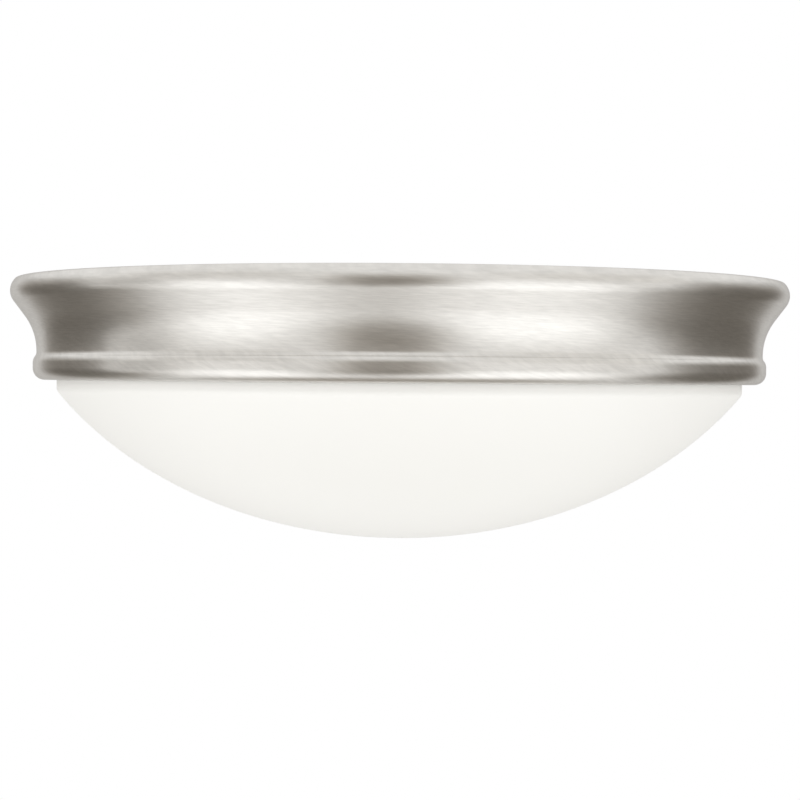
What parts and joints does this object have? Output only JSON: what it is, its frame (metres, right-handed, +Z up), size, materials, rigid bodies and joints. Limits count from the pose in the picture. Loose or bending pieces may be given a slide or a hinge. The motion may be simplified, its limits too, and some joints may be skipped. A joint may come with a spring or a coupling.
{
  "type": "flush mount ceiling light",
  "caption": "Round flush mount ceiling light: spun brushed nickel canopy ring with a sprung opal glass bowl over screw-in lamps.",
  "frame": {"origin": "centre of the ceiling plane, midway between the crossbar's two box-screw slots", "axes": "+Z up into the ceiling, +Y along the crossbar, +X along the lamps"},
  "size_m": [0.356, 0.356, 0.1175],
  "materials": {
    "brushed_nickel": "fine circular brushing, satin nickel plate",
    "zinc_steel": "bright zinc plate",
    "opal_glass": "opal white glass, satin outside",
    "fibreglass": "soft fibre mat",
    "reflector_aluminium": "bright rolled sheet",
    "porcelain": "white glaze",
    "brass": "drawn sheet",
    "cap_tin": "tinned",
    "insulator_black": "glassy black",
    "cap_aluminium": "rolled thread",
    "lamp_housing_white": "moulded",
    "led_board_white": "white solder mask",
    "lamp_globe_frost": "frosted",
    "lead_black": "insulation",
    "lead_white": "insulation",
    "connector_plastic": "moulded, ribbed",
    "bare_copper": "bare drawn wire",
    "earth_green": "green dyed plate",
    "nylon_black": "moulded",
    "spring_steel": "blued strip",
    "vinyl_clear": "soft vinyl"
  },
  "bodies": {
    "fixture": {"black_connector": "connector_plastic", "black_lead_left": "lead_black", "black_lead_right": "lead_black", "bracket_rivets": "zinc_steel", "canopy": "brushed_nickel", "canopy_earth_screw": "earth_green", "cap_nuts": "zinc_steel", "crossbar": "zinc_steel", "crossbar_earth_screw": "earth_green", "earth_wire": "bare_copper", "glass_spring_1": "spring_steel", "glass_spring_2": "spring_steel", "glass_spring_3": "spring_steel", "insulation_pad": "fibreglass", "lampholder_bracket": "zinc_steel", "lampholder_left": "porcelain", "lampholder_right": "porcelain", "lampholder_screws": "zinc_steel", "mounting_screws": "zinc_steel", "reflector": "reflector_aluminium", "socket_contact_left": "brass", "socket_contact_right": "brass", "socket_shell_left": "brass", "socket_shell_right": "brass", "spring_rivets": "zinc_steel", "spring_sleeve_1": "vinyl_clear", "spring_sleeve_2": "vinyl_clear", "spring_sleeve_3": "vinyl_clear", "white_connector": "connector_plastic", "white_lead_left": "lead_white", "white_lead_right": "lead_white", "wire_bushing": "nylon_black"},
    "glass": {"glass_bowl": "opal_glass"},
    "lamp_feed_right": {"lamp_eyelet_right": "cap_tin"},
    "lamp_right": {"lamp_insulator_right": "insulator_black", "lamp_screw_shell_right": "cap_aluminium", "lamp_housing_right": "lamp_housing_white", "lamp_led_board_right": "led_board_white", "lamp_globe_right": "lamp_globe_frost"},
    "lamp_feed_left": {"lamp_eyelet_left": "cap_tin"},
    "lamp_left": {"lamp_insulator_left": "insulator_black", "lamp_screw_shell_left": "cap_aluminium", "lamp_housing_left": "lamp_housing_white", "lamp_led_board_left": "led_board_white", "lamp_globe_left": "lamp_globe_frost"}
  },
  "joints": [
    {"name": "glass_drop", "type": "slide", "parent": "fixture", "child": "glass", "axis": [0, 0, -1], "range_m": [0, 0.1], "deforming": ["glass_spring_1", "spring_sleeve_1", "glass_spring_2", "spring_sleeve_2", "glass_spring_3", "spring_sleeve_3"]},
    {"name": "lamp_feed_right", "type": "slide", "parent": "fixture", "child": "lamp_feed_right", "axis": [1, 0, 0], "range_m": [0, 0.0182]},
    {"name": "lamp_turn_right", "type": "hinge", "parent": "lamp_feed_right", "child": "lamp_right", "pos_m": [0.0274, 0, -0.046], "axis": [1, 0, 0], "range_deg": [0, 1800]},
    {"name": "lamp_feed_left", "type": "slide", "parent": "fixture", "child": "lamp_feed_left", "axis": [-1, 0, 0], "range_m": [0, 0.0182]},
    {"name": "lamp_turn_left", "type": "hinge", "parent": "lamp_feed_left", "child": "lamp_left", "pos_m": [-0.0274, 0, -0.046], "axis": [-1, 0, 0], "range_deg": [0, 1800]}
  ],
  "couplings": [
    {"joint": "lamp_feed_right", "follows": "lamp_turn_right", "m_per_rad": 0.00057757},
    {"joint": "lamp_feed_left", "follows": "lamp_turn_left", "m_per_rad": 0.00057757}
  ]
}
